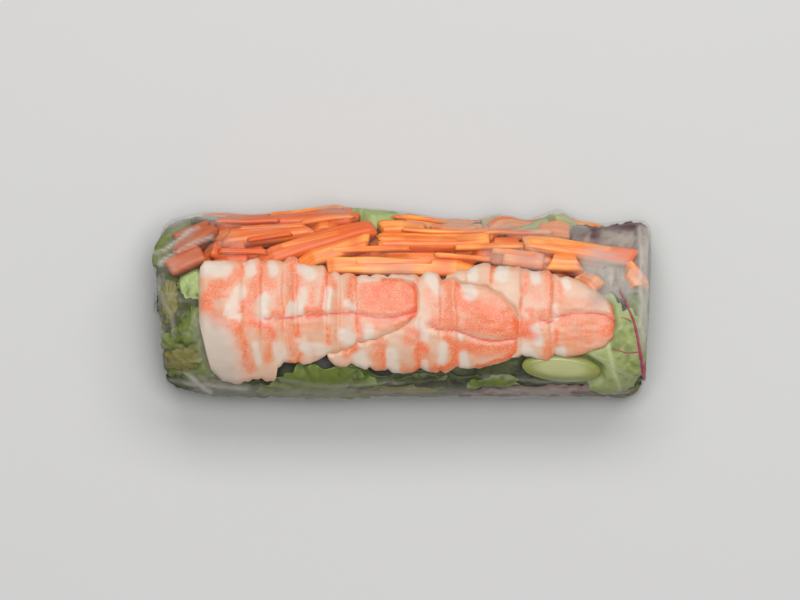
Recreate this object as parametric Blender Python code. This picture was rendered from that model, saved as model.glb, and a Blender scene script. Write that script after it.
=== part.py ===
"""Rice paper roll: three butterflied prawns, carrot sticks, cucumber, chard and salad leaves rolled
in one translucent sheet of rice paper, lying on its flattened underside.

The origin is under the middle of the roll, on the surface it rests on. +X runs along the roll
towards the prawns' tails, +Y towards the carrot side and +Z up. Lengths are in millimetres until a
vertex is placed, and then in metres.

Everything is laid out on the roll's skin, the way the food is layered in the sheet. A place is
(along, around, depth): millimetres along the roll from its middle, millimetres around it from the
top line towards +Y, and millimetres in from the skin. Each piece lies as high as what is already
laid over it allows, so a tail that overlaps the next prawn presses that prawn inwards.
"""

import math

import bmesh
import bpy
import numpy as np
from mathutils import Matrix

MM = 0.001

# The wrapped roll
ROLL_LENGTH = 125.0
ROLL_WIDTH = 48.0
ROLL_HEIGHT = 36.0
FLATTENED = 0.9  # how far the weight presses the underside in
SECTION_POWER = 2.6  # 2 is an ellipse, and more is squarer
END_POWER = 20.0  # the same for the roll's corners seen from above

# The sheet
PAPER = 0.6
LAP = 14.0  # width of the overlap under the roll
LAP_START = -73.0  # around, where the inner edge of the sheet lies
LAP_SLOPE = 10.0  # length over which the sheet climbs onto itself
LAYER_GAP = 0.3
TUCK = 0.14  # share of the section left open where the ends are gathered
PAPER_SPANS = 29  # places around the sheet past the lap
PAPER_STATIONS = (0, 9, 17, 23.5, 30.5, 38, 44, 50, 55, 58.5, 61, 62.5, 64, 66, 69, 74)

# The filling
CLEARANCE = 0.8
GAP = 0.35
SALAD_GAP = 0.7
PRAWN_THICKNESS = 3.4
PRAWN_RIM = 1.2
PRAWN_GROOVE = 0.7
LEAF_THICKNESS = 0.9

# Bulges and hollows of the skin: along, around, reach along, reach around, height
RELIEF = (
    (-16.0, 33.0, 7.0, 8.0, 1.7),
    (-37.0, 33.0, 6.0, 8.0, -1.2),
    (14.0, 33.0, 9.0, 11.0, -3.0),
    (23.5, 33.0, 2.5, 7.0, 1.2),
    (30.5, 33.0, 6.0, 11.0, -2.4),
    (38.0, 33.0, 3.0, 8.0, 2.8),
    (50.0, 33.0, 12.0, 12.0, -4.0),
    (-64.0, 33.0, 9.0, 11.0, -3.0),
    (-63.0, 14.0, 4.0, 5.0, 2.2),
    (-66.0, -36.0, 11.0, 26.0, -3.4),
    (-80.0, 0.0, 19.0, 200.0, -2.4),
    (66.0, -34.0, 10.0, 27.0, -3.4),
    (80.0, 0.0, 16.0, 200.0, -1.2),
    (56.0, -36.0, 5.0, 5.0, 2.2),
    (-20.0, -33.0, 16.0, 7.0, 0.6),
    (-46.0, 0.0, 9.0, 12.0, 0.7),
    (-6.0, -6.0, 11.0, 11.0, 0.6),
    (24.0, -4.0, 9.0, 11.0, 0.5),
    (10.0, 20.0, 26.0, 5.0, -0.5),
    (54.0, 8.0, 6.0, 9.0, -1.0),
)

# Prawns, head to tail: x of the head end, tail tip's y, then (length, upper y, lower y) of each
# ring of the body seen from above. The last ring is the tapered tail.
PRAWNS = {
    "prawn_left": (
        -50.3,
        0.2,
        (
            (11.5, 11.4, -17.5),
            (4.0, 11.6, -19.3),
            (5.4, 11.8, -18.6),
            (3.4, 12.2, -15.5),
            (7.5, 9.8, -13.6),
            (3.2, 8.0, -12.2),
            (3.9, 8.0, -10.4),
            (15.6, 7.2, -9.8),
        ),
    ),
    "prawn_middle": (
        -20.0,
        -7.0,
        (
            (7.4, 7.5, -15.6),
            (4.2, 7.5, -15.6),
            (4.4, 7.5, -15.2),
            (8.2, 7.6, -17.2),
            (4.6, 8.1, -17.4),
            (4.5, 6.8, -17.2),
            (15.6, 5.6, -16.5),
        ),
    ),
    "prawn_right": (
        9.4,
        -3.4,
        (
            (6.2, 9.0, -12.0),
            (6.4, 10.0, -13.0),
            (7.4, 9.7, -14.0),
            (7.2, 8.6, -14.3),
            (15.8, 7.4, -13.2),
        ),
    ),
}
PINCH = 1.0  # how far the outline draws in between two rings
RING_STATIONS = (0.25, 0.75)
TAIL_STATIONS = (0.0, 0.35, 0.62, 0.82, 0.95, 1.0)
PRAWN_ROWS = 6

# Carrot sticks, outermost first, seen from above: x and y of the start, x and y of the end, thickness
CARROTS = (
    (30.0, 15.6, 57.3, 12.2, 3.6),
    (-36.8, 12.9, -8.0, 19.8, 3.7),
    (-18.4, 10.9, 22.5, 12.0, 3.8),
    (-46.6, 12.3, -38.2, 12.2, 2.8),
    (-57.6, 9.8, -49.6, 13.9, 4.2),
    (-58.2, 13.4, -47.6, 19.2, 2.2),
    (-55.8, 16.9, -47.8, 20.6, 3.0),
    (-47.6, 21.0, -12.8, 22.0, 3.0),
    (-43.5, 17.4, -23.5, 19.2, 2.6),
    (-6.0, 16.4, 21.2, 16.1, 2.5),
    (24.4, 12.3, 34.2, 11.0, 2.8),
    (36.4, 11.1, 43.2, 10.7, 2.4),
    (-46.8, 15.2, -38.6, 14.9, 2.2),
    (-28.4, 11.6, -8.8, 16.0, 1.8),
    (20.8, 18.4, 30.4, 20.4, 2.2),
    (0.5, 21.8, 15.5, 20.2, 2.4),
    (-5.4, 19.2, 5.0, 19.2, 2.2),
    (7.8, 18.9, 18.6, 18.6, 1.8),
    (34.0, 18.5, 40.4, 18.3, 2.0),
    (43.8, 9.2, 47.8, 5.4, 3.0),
    (56.6, 9.2, 58.8, 5.0, 2.3),
    (22.6, 15.4, 28.2, 15.2, 1.8),
)

# Sticks further round the side: start along and around, end along and around, thickness
CARROTS_BESIDE = (
    (-50.0, 38.0, -9.0, 37.4, 3.4),
    (-6.6, 38.4, 17.6, 38.8, 3.2),
    (-42.0, 43.4, -4.0, 43.0, 3.6),
    (6.0, 43.6, 50.0, 42.2, 3.6),
)
CARROT_SPANS = 4

# Cucumber batons: start along and around, end along and around, width, thickness
CUCUMBERS = (
    (29.5, -18.6, 48.0, -20.0, 4.8, 4.2),
    (36.8, 36.0, 40.4, 27.6, 6.0, 4.8),
    (21.6, 36.0, 22.8, 28.4, 4.8, 3.6),
)

# Flat leaves: along and around of the middle, length, width, turn in degrees
CHARD = (48.6, -11.0, 23.0, 31.0, 6.0)
RED_LEAVES = (
    (51.5, 18.0, 15.5, 27.0, 0.0),
    (36.5, -29.0, 44.0, 10.5, -1.0),
)
LEAF_CELLS = 6

CELL = 0.5  # spacing of the map that says how deep the laid pieces reach
MAP_LENGTH = 80.0
SAMPLES = 16  # places tried along each side of a piece's grid cells

HALF_WIDTH = ROLL_WIDTH / 2
HALF_HEIGHT = (ROLL_HEIGHT + FLATTENED) / 2
MEAN_RADIUS = (HALF_WIDTH + HALF_HEIGHT) / 2
INWARD_PULL = 0.35  # the skin's normals aim at a core this share of the section
END_INSET = 14.0


def signed_power(value, power):
    return np.sign(value) * np.abs(value) ** power


def running_length(first, second):
    steps = np.hypot(np.diff(first), np.diff(second))
    return np.concatenate([[0.0], np.cumsum(steps)])


# The section as a superellipse, by its length measured from the top line
_turn = np.linspace(-math.pi, math.pi, 2881)
SECTION_Y = HALF_WIDTH * signed_power(np.sin(_turn), 2 / SECTION_POWER)
SECTION_Z = HALF_HEIGHT * signed_power(np.cos(_turn), 2 / SECTION_POWER)
SECTION_AT = running_length(SECTION_Y, SECTION_Z)
GIRTH = SECTION_AT[-1]
SECTION_AT = SECTION_AT - GIRTH / 2
WIDEST = GIRTH / 4  # where a side of the roll is widest

# The roll's outline from end to end, by its length measured from the middle
_tilt = np.linspace(-math.pi / 2, math.pi / 2, 2881)
END_X = ROLL_LENGTH / 2 * signed_power(np.sin(_tilt), 2 / END_POWER)
END_SHARE = np.abs(np.cos(_tilt)) ** (2 / END_POWER)
END_SHARE[[0, -1]] = 0.0
END_AT = running_length(END_X, MEAN_RADIUS * END_SHARE)
POLE = END_AT[-1] / 2
END_AT = END_AT - POLE


def relief(along, around):
    """Height of the bulges of the skin at a place."""
    height = np.zeros(np.broadcast(along, around).shape)
    for at, at_around, reach, reach_around, bulge in RELIEF:
        aside = (around - at_around + GIRTH / 2) % GIRTH - GIRTH / 2
        height += bulge * np.exp(
            -(((along - at) / reach) ** 2) - (aside / reach_around) ** 2
        )
    return height


def wrap(along, around, depth):
    """The x, y and z in millimetres of a place on or under the skin."""
    x = np.interp(along, END_AT, END_X)
    share = np.interp(along, END_AT, END_SHARE)
    turned = (around + GIRTH / 2) % GIRTH - GIRTH / 2
    y = np.interp(turned, SECTION_AT, SECTION_Y) * share
    z = np.interp(turned, SECTION_AT, SECTION_Z) * share
    core_x = np.clip(x, END_INSET - ROLL_LENGTH / 2, ROLL_LENGTH / 2 - END_INSET)
    inward = np.stack([core_x - x, (INWARD_PULL - 1) * y, (INWARD_PULL - 1) * z])
    inward = inward / np.maximum(np.linalg.norm(inward, axis=0), 1e-9)
    x, y, z = np.stack([x, y, z]) + inward * (depth - relief(along, around))
    z = np.maximum(z + HALF_HEIGHT - FLATTENED, depth)
    return x, y, z


def place_at(x, y, depth=2.0):
    """Length along and around the roll of the places that are seen at x and y from above."""
    along, around = np.array(x, dtype=float), np.array(y, dtype=float)
    for _ in range(60):
        seen = wrap(along, around, depth)
        along = along + x - seen[0]
        around = np.clip(around + y - seen[1], -WIDEST, WIDEST)
    return along, around


# The deepest reach of the pieces laid so far, over the whole skin
_map_along = np.arange(-MAP_LENGTH, MAP_LENGTH + CELL, CELL)
_map_around = np.arange(-GIRTH / 2, GIRTH / 2 + CELL, CELL)
laid = np.full((len(_map_along), len(_map_around)), PAPER + CLEARANCE)
doubled = (_map_around - LAP_START) % GIRTH < LAP + LAP_SLOPE
laid[:, doubled] += PAPER + LAYER_GAP


def map_cell(along, around):
    """Row and column of the map at each place."""
    row = np.rint((along + MAP_LENGTH) / CELL).astype(int)
    turned = (around + GIRTH / 2) % GIRTH
    column = np.rint(turned / CELL).astype(int)
    return (
        np.clip(row, 0, len(_map_along) - 1),
        np.clip(column, 0, len(_map_around) - 1),
    )


def finer(grid):
    """A grid with SAMPLES steps in place of each of its own."""
    rows, columns = grid.shape
    u = np.linspace(0, rows - 1, (rows - 1) * SAMPLES + 1)
    v = np.linspace(0, columns - 1, (columns - 1) * SAMPLES + 1)
    tall = np.stack([np.interp(u, range(rows), line) for line in grid.T], axis=1)
    return np.stack([np.interp(v, range(columns), line) for line in tall])


def free_depth(along, around):
    """The shallowest depth at each place of a grid that clears all that is laid under its cells."""
    rows, columns = along.shape
    found = laid[map_cell(finer(along), finer(around))]
    deepest = np.zeros((rows + 1, columns + 1))
    for row in range(rows - 1):
        for column in range(columns - 1):
            cell = found[
                row * SAMPLES : (row + 1) * SAMPLES + 1,
                column * SAMPLES : (column + 1) * SAMPLES + 1,
            ]
            deepest[row + 1, column + 1] = cell.max()
    return np.max(
        [deepest[:-1, :-1], deepest[1:, :-1], deepest[:-1, 1:], deepest[1:, 1:]], axis=0
    )


def taut(depths):
    """The depths of a straight stick that is pulled tight over what it has to pass under."""
    places = range(len(depths))
    tight = np.array(depths)
    for first in places:
        for last in places[first + 2 :]:
            for between in range(first + 1, last):
                t = (between - first) / (last - first)
                chord = depths[first] * (1 - t) + depths[last] * t
                tight[between] = max(tight[between], chord)
    return tight


def lay(along, around, bottom):
    """Marks the ground that a piece covers, from its grid of places and the depth it reaches."""
    np.maximum.at(laid, map_cell(finer(along), finer(around)), finer(bottom) + GAP)


def material(name, colour, roughness, alpha=1.0):
    """A plain finish of that colour."""
    made = bpy.data.materials.new(name)
    made.use_nodes = True
    shader = made.node_tree.nodes["Principled BSDF"]
    shader.inputs["Base Color"].default_value = (*colour, 1.0)
    shader.inputs["Roughness"].default_value = roughness
    shader.inputs["Metallic"].default_value = 0.0
    shader.inputs["Alpha"].default_value = alpha
    return made


def finish(name, shape, finish_material):
    """Makes a node of a shape, smooth where its faces nearly agree."""
    bmesh.ops.recalc_face_normals(shape, faces=shape.faces[:])
    if shape.calc_volume(signed=True) < 0:
        bmesh.ops.reverse_faces(shape, faces=shape.faces[:])
    mesh = bpy.data.meshes.new(name)
    shape.to_mesh(mesh)
    shape.free()
    mesh.shade_smooth()
    mesh.set_sharp_from_angle(angle=math.radians(50))
    mesh.materials.append(finish_material)
    node = bpy.data.objects.new(name, mesh)
    roll.objects.link(node)
    return node


def slab(name, along, around, top, bottom, finish_material):
    """A flat block whose upper and lower faces are grids of places, at depths top and bottom."""
    rows, columns = along.shape
    shape = bmesh.new()
    bmesh.ops.create_grid(
        shape, x_segments=rows - 1, y_segments=columns - 1, size=0.5
    )
    for vertex in shape.verts:
        vertex.co.z = 0.0
    raised = bmesh.ops.extrude_face_region(shape, geom=shape.faces[:])["geom"]
    for part in raised:
        if isinstance(part, bmesh.types.BMVert):
            part.co.z = 1.0
    grids = [np.stack(wrap(along, around, depth)) * MM for depth in (bottom, top)]
    for vertex in shape.verts:
        row = round((vertex.co.x + 0.5) * (rows - 1))
        column = round((vertex.co.y + 0.5) * (columns - 1))
        vertex.co = grids[round(vertex.co.z)][:, row, column]
    return finish(name, shape, finish_material)


def make_paper():
    """The sheet, a spiral that starts under its own outer edge, gathered in at both ends."""
    end = np.interp(TUCK, END_SHARE[:1441], -END_AT[:1441])
    reach = np.array([*PAPER_STATIONS, end])
    stations = np.concatenate([-reach[:0:-1], reach])
    climb_start = LAP + 1.0
    climb = np.linspace(climb_start, climb_start + LAP_SLOPE, 4)
    path = np.concatenate(
        [
            np.linspace(0, climb_start, 4)[:-1],
            climb,
            np.linspace(climb[-1], GIRTH + LAP, PAPER_SPANS)[1:],
        ]
    )
    climbed = np.clip((path - climb_start) / LAP_SLOPE, 0, 1)
    climbed = climbed**2 * (3 - 2 * climbed)
    depth = (PAPER + LAYER_GAP) * (1 - climbed)
    along, around = np.meshgrid(stations, LAP_START + path, indexing="ij")
    depth = np.broadcast_to(depth, along.shape)
    finish_material = material("rice_paper", (0.86, 0.84, 0.78), 0.3, 0.35)
    slab("rice_paper", along, around, depth, depth + PAPER, finish_material)


def prawn_outline(head_x, tip_y, rings):
    """Stations along a prawn: x, upper y, lower y, groove and thickness shares."""
    rows = []
    x = head_x
    for number, (length, upper, lower) in enumerate(rings[:-1]):
        previous = rings[max(number - 1, 0)]
        pinch, groove, share = (PINCH, 1.0, 0.85) if number else (3.2, 0.0, 0.5)
        notch = (upper + previous[1]) / 2 - pinch, (lower + previous[2]) / 2 + pinch
        rows.append((x, *notch, groove, share))
        for t in RING_STATIONS:
            rows.append((x + length * t, upper, lower, 0.0, 1.0))
        x += length
    length, upper, lower = rings[-1]
    for t in TAIL_STATIONS:
        kept = math.sqrt(1 - 0.97 * t**2.4)
        rows.append(
            (
                x + length * t,
                tip_y + (upper - tip_y) * kept,
                tip_y + (lower - tip_y) * kept,
                1.0 if t == 0 else 0.0,
                0.95 - 0.35 * t,
            )
        )
    return np.array(rows).T


def make_prawn(name, finish_material):
    """A butterflied prawn: rings with grooves between them, thick in the middle, thin at the rim."""
    x, upper, lower, groove, share = prawn_outline(*PRAWNS[name])
    across = np.linspace(-1, 1, PRAWN_ROWS + 1)
    y = (upper + lower)[:, None] / 2 + (upper - lower)[:, None] / 2 * across
    along, around = place_at(np.broadcast_to(x[:, None], y.shape), y)
    rim = across**4
    top = free_depth(along, around)
    top = top + PRAWN_GROOVE * groove[:, None] + 0.5 * rim
    dome = share[:, None] * np.sqrt(1 - across**2)
    bottom = top + PRAWN_RIM + (PRAWN_THICKNESS - PRAWN_RIM) * dome
    lay(along, around, bottom)
    slab(name, along, around, top, bottom, finish_material)


def make_strip(name, start, end, width, thickness, spans, finish_material):
    """A stick of even section between two places, as high as what lies over it allows."""
    along = np.linspace(start[0], end[0], spans + 1)[:, None]
    around = np.linspace(start[1], end[1], spans + 1)[:, None]
    heading = math.atan2(end[1] - start[1], end[0] - start[0])
    side = np.array([-0.5, 0.5]) * width
    along = along - math.sin(heading) * side
    around = around + math.cos(heading) * side
    top = taut(free_depth(along, around).max(axis=1))
    top = np.repeat(top[:, None], 2, axis=1)
    bottom = top + thickness
    lay(along, around, bottom)
    slab(name, along, around, top, bottom, finish_material)


def make_leaf(name, at, length, width, turn, finish_material):
    """A flat leaf with rounded corners, pressed up under whatever covers it."""
    cells = np.linspace(-1, 1, LEAF_CELLS + 1)
    u, v = np.meshgrid(cells, cells, indexing="ij")
    long_way = u * np.sqrt(1 - 0.5 * v**2) * length / 2
    wide_way = v * np.sqrt(1 - 0.5 * u**2) * width / 2
    angle = math.radians(turn)
    along = at[0] + long_way * math.cos(angle) - wide_way * math.sin(angle)
    around = at[1] + long_way * math.sin(angle) + wide_way * math.cos(angle)
    top = free_depth(along, around)
    bottom = top + LEAF_THICKNESS
    lay(along, around, bottom)
    slab(name, along, around, top, bottom, finish_material)


def make_salad():
    """The salad that fills the roll: closed, with a pocket under every piece laid before it."""
    columns, rows = 32, 28
    shape = bmesh.new()
    bmesh.ops.create_uvsphere(shape, u_segments=columns, v_segments=rows, radius=1.0)
    along = np.linspace(-POLE, POLE, rows + 1)
    around = np.linspace(-GIRTH, GIRTH, 2 * columns + 1)
    along, around = np.meshgrid(along, around, indexing="ij")
    depth = free_depth(along, around) + SALAD_GAP
    places = np.stack(wrap(along, around, depth)) * MM
    for vertex in shape.verts:
        x, y, z = vertex.co
        row = round((math.asin(max(-1.0, min(1.0, z))) / math.pi + 0.5) * rows)
        turn = math.atan2(y, x) / (2 * math.pi)
        vertex.co = places[:, row, columns + round(turn * columns)]
    finish("green_salad", shape, material("green_salad", (0.16, 0.27, 0.06), 0.6))


def centre_roll(nodes):
    """Puts the origin under the middle of the roll."""
    sheet = np.array([vertex.co for vertex in nodes["rice_paper"].data.vertices])
    middle = (sheet.min(axis=0) + sheet.max(axis=0)) / 2
    for node in nodes:
        node.data.transform(Matrix.Translation((-middle[0], -middle[1], 0.0)))


for leftover in list(bpy.data.objects):
    bpy.data.objects.remove(leftover)

roll = bpy.data.collections.new("rice_paper_roll")
bpy.context.scene.collection.children.link(roll)

make_paper()

flesh = material("prawn", (0.92, 0.60, 0.42), 0.45)
for prawn in PRAWNS:
    make_prawn(prawn, flesh)

orange = material("carrot", (0.90, 0.24, 0.04), 0.5)
sticks = [
    (*place_at(x0, y0), *place_at(x1, y1), size) for x0, y0, x1, y1, size in CARROTS
]
for number, stick in enumerate(sticks + list(CARROTS_BESIDE), 1):
    size = stick[4]
    name = f"carrot_stick_{number:02d}"
    make_strip(name, stick[:2], stick[2:4], size, size, CARROT_SPANS, orange)

pale_green = material("cucumber", (0.62, 0.62, 0.30), 0.4)
for number, (*places, width, thickness) in enumerate(CUCUMBERS, 1):
    name = f"cucumber_{number}"
    make_strip(name, places[:2], places[2:], width, thickness, 4, pale_green)

chard_green = material("chard", (0.30, 0.42, 0.14), 0.5)
make_leaf("chard_leaf", CHARD[:2], *CHARD[2:], chard_green)

red_leaf = material("red_lettuce", (0.20, 0.07, 0.08), 0.6)
for number, (*at, length, width, turn) in enumerate(RED_LEAVES, 1):
    make_leaf(f"red_lettuce_{number}", at, length, width, turn, red_leaf)

make_salad()
centre_roll(roll.objects)
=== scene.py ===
"""A rice paper roll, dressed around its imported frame: three cooked prawns, carrot sticks, cucumber,
chard and salad leaves seen through one soft, translucent sheet of soaked rice paper.

Lengths are metres, and a value times MM is in millimetres. +X runs along the roll towards the
prawns' tails, +Y towards the carrots and +Z up. A place on the roll is given as (along, around,
depth): along it from its middle, around it from its top line towards +Y, and in from its skin."""

import math

import bpy
import numpy as np
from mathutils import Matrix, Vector, noise
from mathutils.bvhtree import BVHTree


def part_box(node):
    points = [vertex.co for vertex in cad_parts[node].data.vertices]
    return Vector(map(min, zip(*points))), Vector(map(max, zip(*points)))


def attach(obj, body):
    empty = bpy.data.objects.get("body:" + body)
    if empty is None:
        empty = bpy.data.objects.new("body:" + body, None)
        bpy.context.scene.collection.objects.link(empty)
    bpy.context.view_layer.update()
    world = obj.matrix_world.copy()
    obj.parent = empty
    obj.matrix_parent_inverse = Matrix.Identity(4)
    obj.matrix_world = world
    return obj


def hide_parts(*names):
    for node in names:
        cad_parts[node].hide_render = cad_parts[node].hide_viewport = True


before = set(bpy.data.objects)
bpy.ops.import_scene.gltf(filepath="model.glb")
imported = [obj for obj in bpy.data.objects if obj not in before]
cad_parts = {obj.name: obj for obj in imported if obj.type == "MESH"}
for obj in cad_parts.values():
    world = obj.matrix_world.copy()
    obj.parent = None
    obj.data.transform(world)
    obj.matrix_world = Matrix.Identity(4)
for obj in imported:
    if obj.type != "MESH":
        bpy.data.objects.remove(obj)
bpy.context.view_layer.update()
MM = 0.001


# ---- The table and its light ------------------------------------------------------------------
# The roll lies on a plain pale table and is seen from straight above. One soft lamp hangs over it
# and another beyond the carrots, and the rest is even daylight.

CAMERA_HEIGHT = 2.5
SEEN_WIDTH = 197.6 * MM  # across the view, at the roll's mid height
roll_low, roll_high = (np.array(corner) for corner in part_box("rice_paper"))
middle = (roll_low + roll_high) / 2
half = (roll_high - roll_low) / 2

bpy.ops.object.select_all(action="DESELECT")
bpy.ops.object.camera_add(location=(-0.45 * MM, 0.63 * MM, CAMERA_HEIGHT + middle[2]))
camera = bpy.context.object
camera.data.lens = camera.data.sensor_width * CAMERA_HEIGHT / SEEN_WIDTH
camera.data.clip_start = 0.01
bpy.context.scene.camera = camera

LAMPS = (  # where each hangs, its width and depth, its strength
    ((0.10, 0.50, 0.90), 0.8, 0.4, 5.0), ((0.03, 0.04, 1.10), 0.4, 0.35, 6.6),
)
for place, width, depth, strength in LAMPS:
    bpy.ops.object.light_add(type="AREA", location=place)
    lamp = bpy.context.object
    lamp.rotation_euler = Vector(place).to_track_quat("Z", "Y").to_euler()
    lamp.data.shape = "RECTANGLE"
    lamp.data.size, lamp.data.size_y = width, depth
    lamp.data.energy = strength
    lamp.data.color = (1.0, 0.99, 0.97)

daylight = bpy.data.worlds.new("daylight")
daylight.use_nodes = True
daylight.node_tree.nodes["Background"].inputs["Color"].default_value = (0.96, 0.97, 1.0, 1.0)
daylight.node_tree.nodes["Background"].inputs["Strength"].default_value = 0.20
bpy.context.scene.world = daylight
bpy.context.scene.view_settings.view_transform = "Standard"

bpy.ops.mesh.primitive_plane_add(size=3.0, location=(0, 0, -0.1 * MM))
table = bpy.context.object
table.name = "table_top"
stone = bpy.data.materials.new("pale_table")
stone.use_nodes = True
stone.node_tree.nodes["Principled BSDF"].inputs["Base Color"].default_value = (0.61, 0.61, 0.61, 1)
stone.node_tree.nodes["Principled BSDF"].inputs["Roughness"].default_value = 0.8
table.data.materials.append(stone)


# ---- The roll's skin --------------------------------------------------------------------------
# A net of places over the outside of the CAD sheet, evenly spaced along and around. The filling is
# laid by its depth under it, and at the end the real sheet is drawn over the filling along it.

NET_ALONG = 280
NET_AROUND = 176
END_INSET = 14 * MM  # the skin's ends face away from points this far inside them
CORE_SHARE = 0.35
FAR = 60 * MM


def core_of(places):
    """The points inside the roll that the skin at these places faces away from."""
    core = middle + (places - middle) * CORE_SHARE
    reach = half[0] - END_INSET
    core[..., 0] = np.clip(places[..., 0], middle[0] - reach, middle[0] + reach)
    return core


def tree_of(*objects):
    """One search tree over the meshes of these objects."""
    points, faces = [], []
    for thing in objects:
        start = len(points)
        points += [vertex.co.copy() for vertex in thing.data.vertices]
        faces += [[start + index for index in face.vertices] for face in thing.data.polygons]
    return BVHTree.FromPolygons(points, faces)


def cast(tree, starts, directions, reach):
    """How far a ray from each start runs until it meets the tree, and reach where it never does."""
    lengths = np.full(starts.shape[:-1], reach)
    for index in np.ndindex(lengths.shape):
        length = tree.ray_cast(Vector(starts[index]), Vector(directions[index]), reach)[3]
        if length is not None:
            lengths[index] = length
    return lengths


sheet_tree = tree_of(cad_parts["rice_paper"])


def skin_at(tilt, turn):
    """The place and the outward direction of the skin where an ellipsoid has this tilt and turn."""
    tilt, turn = np.broadcast_arrays(tilt, turn)
    shape = np.stack([np.sin(tilt), np.cos(tilt) * np.sin(turn), np.cos(tilt) * np.cos(turn)], -1)
    guide = middle + half * shape
    core = core_of(guide)
    outward = guide - core
    outward /= np.linalg.norm(outward, axis=-1, keepdims=True)
    length = cast(sheet_tree, core + outward * FAR, -outward, FAR)
    missed = np.abs((core + outward * (FAR - length[..., None]))[..., 0]) < half[0] - 6 * MM
    missed &= np.abs(tilt) > 1.3
    to_end = (half[0] - 0.6 * MM - np.abs(core[..., 0] - middle[0])) / np.abs(outward[..., 0] + 1e-9)
    length = np.where(missed, FAR - to_end, length)
    return core + outward * (FAR - length[..., None]), outward


def even(angles, points, count):
    """The angles that part a line through these points into that many equal lengths."""
    run = np.concatenate([[0], np.cumsum(np.linalg.norm(np.diff(points, axis=0), axis=1))])
    return np.interp(np.linspace(0, run[-1], count + 1), run, angles), run[-1]


full_turn = np.linspace(-math.pi, math.pi, 361)
net_turn, girth = even(full_turn, skin_at(0.0, full_turn)[0], NET_AROUND)
full_tilt = np.linspace(-math.pi / 2, math.pi / 2, 361)
top_tilt, top_length = even(full_tilt, skin_at(full_tilt, 0.0)[0], NET_ALONG)
side_tilt, side_length = even(full_tilt, skin_at(full_tilt, math.pi / 2)[0], NET_ALONG)
net_tilt = (top_tilt + side_tilt) / 2
net_length = (top_length + side_length) / 2
skin, outward = skin_at(net_tilt[:, None], net_turn[None, :-1])


def soften(net, rounds):
    """Evens a net out."""
    for _ in range(rounds):
        padded = np.pad(net, ((1, 1), *((0, 0),) * (net.ndim - 1)), mode="edge")
        net = (padded[:-2] + padded[2:] + 2 * net) / 4
        net = (np.roll(net, 1, 1) + np.roll(net, -1, 1) + 2 * net) / 4
    return net


skin[3:-3] = soften(skin, 3)[3:-3]  # takes out the flat facets of the CAD sheet


def cell(along, around):
    """The net's row and column at a place, with fractions."""
    row = (along * MM / net_length + 0.5) * NET_ALONG
    column = (around * MM / girth + 0.5) * NET_AROUND
    return np.clip(row, 0, NET_ALONG - 0.001), column % NET_AROUND


def read(net, along, around):
    """The value of a net at places between its points."""
    row, column = cell(along, around)
    r, c = row.astype(int), column.astype(int)
    down, right = row - r, column - c
    if net.ndim > 2:
        down, right = down[..., None], right[..., None]
    c2 = (c + 1) % NET_AROUND
    near = net[r, c] * (1 - right) + net[r, c2] * right
    far = net[r + 1, c] * (1 - right) + net[r + 1, c2] * right
    return near * (1 - down) + far * down


def on_skin(along, around, depth):
    """The points at a depth in millimetres under the skin at these places."""
    return read(skin, along, around) - read(outward, along, around) * depth[..., None] * MM


def place_at(x, y):
    """The places along and around, a little under the skin, that are seen at x and y from above."""
    along, around = np.array(x, dtype=float), np.array(y, dtype=float)
    limit = girth / MM / 4
    for _ in range(40):
        seen = on_skin(along, around, np.full(along.shape, 1.5)) / MM
        along = along + x - seen[..., 0]
        around = np.clip(around + y - seen[..., 1], -limit, limit)
    return along, around


# ---- The prawns -------------------------------------------------------------------------------
# Three peeled, cooked prawns, butterflied and laid with their backs to the sheet, heads to the left
# and each overlapping the next. The cream flesh blushes orange where each ring of the shell ended,
# in fine red dots, and a red line runs down the back.

PRAWN_TOP = 0.55  # depth of the flesh under the skin, where nothing lies over it
PRAWN_THICK = 3.0
PRAWN_RIM = 2.2  # width of the rounded edge
PRAWN_CELLS = 3.6, 76  # to the millimetre along, and across


def points_of(piece):
    """A mesh's points as an array."""
    flat = np.empty(len(piece.data.vertices) * 3, dtype=np.float32)
    piece.data.vertices.foreach_get("co", flat)
    return flat.reshape(-1, 3).astype(float)


def set_points(piece, points):
    """Moves a mesh's points."""
    piece.data.vertices.foreach_set("co", points.astype(np.float32).ravel())
    piece.data.update()


def grid(name, columns, rows):
    """A flat grid from -1 to 1 as a new piece, with its points."""
    bpy.ops.object.select_all(action="DESELECT")
    bpy.ops.mesh.primitive_grid_add(x_subdivisions=columns, y_subdivisions=rows, size=2)
    piece = bpy.context.object
    piece.name = name
    return piece, points_of(piece)


def paint(piece, name, values):
    """Keeps a number for each point of a mesh, for its material to read."""
    kind = "FLOAT" if values.ndim == 1 else "FLOAT_VECTOR"
    layer = piece.data.attributes.new(name, kind, "POINT")
    layer.data.foreach_set("value" if values.ndim == 1 else "vector", values.astype(np.float32).ravel())


def choose(piece):
    """Makes this the one piece that the next operator works on."""
    bpy.ops.object.select_all(action="DESELECT")
    piece.select_set(True)
    bpy.context.view_layer.objects.active = piece


def apply(piece, kind, **settings):
    """Adds a modifier to a piece and applies it."""
    choose(piece)
    modifier = piece.modifiers.new(kind.title(), kind)
    for setting, value in settings.items():
        setattr(modifier, setting, value)
    bpy.ops.object.modifier_apply(modifier=modifier.name)


def thicken(piece, along, around, top, bottom):
    """Makes a grid a closed shell between two depths under the skin at these places."""
    apply(piece, "SOLIDIFY", thickness=MM, offset=-1.0)
    set_points(piece, np.concatenate([on_skin(along, around, depth) for depth in (top, bottom)]))


def close_up(piece):
    """Merges doubled points, turns the faces outwards and shades them smooth."""
    choose(piece)
    bpy.ops.object.mode_set(mode="EDIT")
    bpy.ops.mesh.select_all(action="SELECT")
    bpy.ops.mesh.remove_doubles(threshold=0.00001)
    bpy.ops.mesh.normals_make_consistent(inside=False)
    bpy.ops.object.mode_set(mode="OBJECT")
    piece.data.shade_smooth()


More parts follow.
